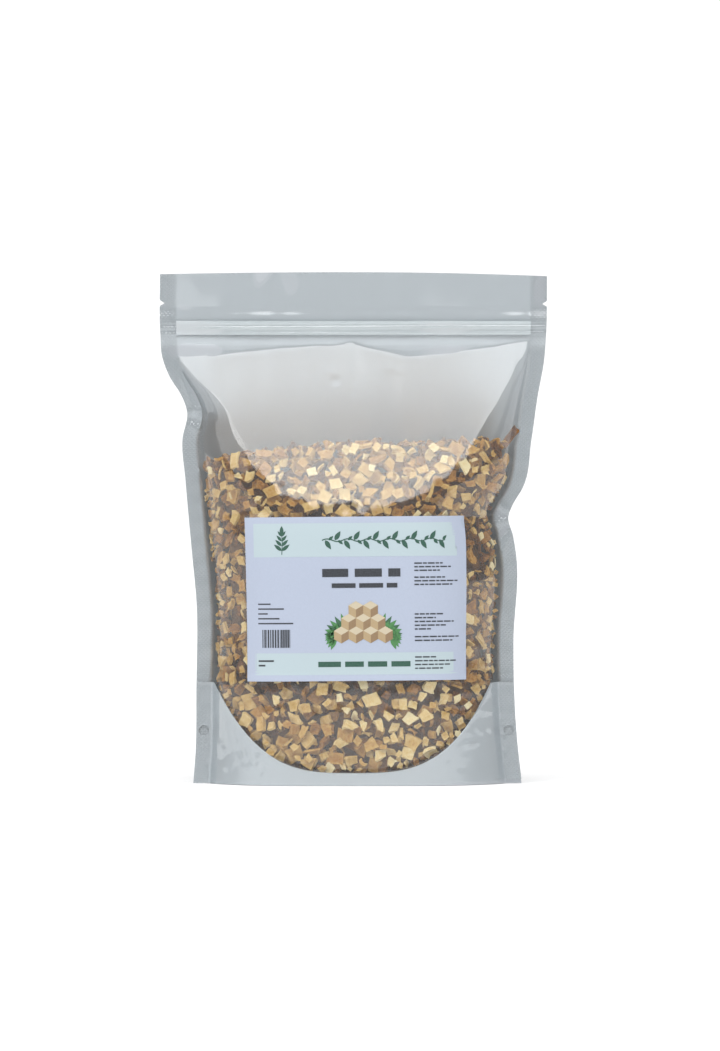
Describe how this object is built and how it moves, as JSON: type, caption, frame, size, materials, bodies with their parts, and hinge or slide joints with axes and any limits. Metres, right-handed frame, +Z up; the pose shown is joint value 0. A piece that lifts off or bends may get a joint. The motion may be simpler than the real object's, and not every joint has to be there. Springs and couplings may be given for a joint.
{
  "type": "filled stand-up pouch of diced dried parsley root",
  "caption": "Upright clear-front zip pouch with a silver back and bottom gusset and a front label, shut and filled with small dried root cubes.",
  "frame": {"origin": "on the ground under the middle of the pouch", "axes": "+Z up, along the pouch's height; -Y out of the clear front panel; +X to the right as seen from the front"},
  "size_m": [0.2501, 0.0985, 0.33],
  "materials": {
    "clear_film": "glossy clear laminate, heat-sealed",
    "silver_film": "metallised laminate, satin silver",
    "zip_plastic": "extruded polyethylene, natural",
    "label_paper": "coated self-adhesive paper",
    "dried_root": "dried vegetable, matt and porous"
  },
  "bodies": {
    "root": {"front_panel": "clear_film", "back_panel": "silver_film", "bottom_gusset": "silver_film", "zip_channel_strip": "zip_plastic", "zip_arrow_strip": "zip_plastic", "front_label": "label_paper", "root_bed": "dried_root", "root_cube_01": "dried_root", "root_cube_02": "dried_root", "root_cube_03": "dried_root", "root_cube_04": "dried_root", "root_cube_05": "dried_root", "root_cube_06": "dried_root", "root_cube_07": "dried_root", "root_cube_08": "dried_root", "root_cube_09": "dried_root", "root_cube_10": "dried_root", "root_cube_11": "dried_root", "root_cube_12": "dried_root", "root_cube_13": "dried_root", "root_cube_14": "dried_root", "root_cube_15": "dried_root", "root_cube_16": "dried_root", "root_cube_17": "dried_root", "root_cube_18": "dried_root", "root_cube_19": "dried_root", "root_cube_20": "dried_root", "root_cube_21": "dried_root", "root_cube_22": "dried_root", "root_cube_23": "dried_root", "root_cube_24": "dried_root", "root_cube_25": "dried_root", "root_cube_26": "dried_root", "root_cube_27": "dried_root", "root_cube_28": "dried_root", "root_cube_29": "dried_root", "root_cube_30": "dried_root", "root_cube_31": "dried_root", "root_cube_32": "dried_root"}
  },
  "joints": []
}
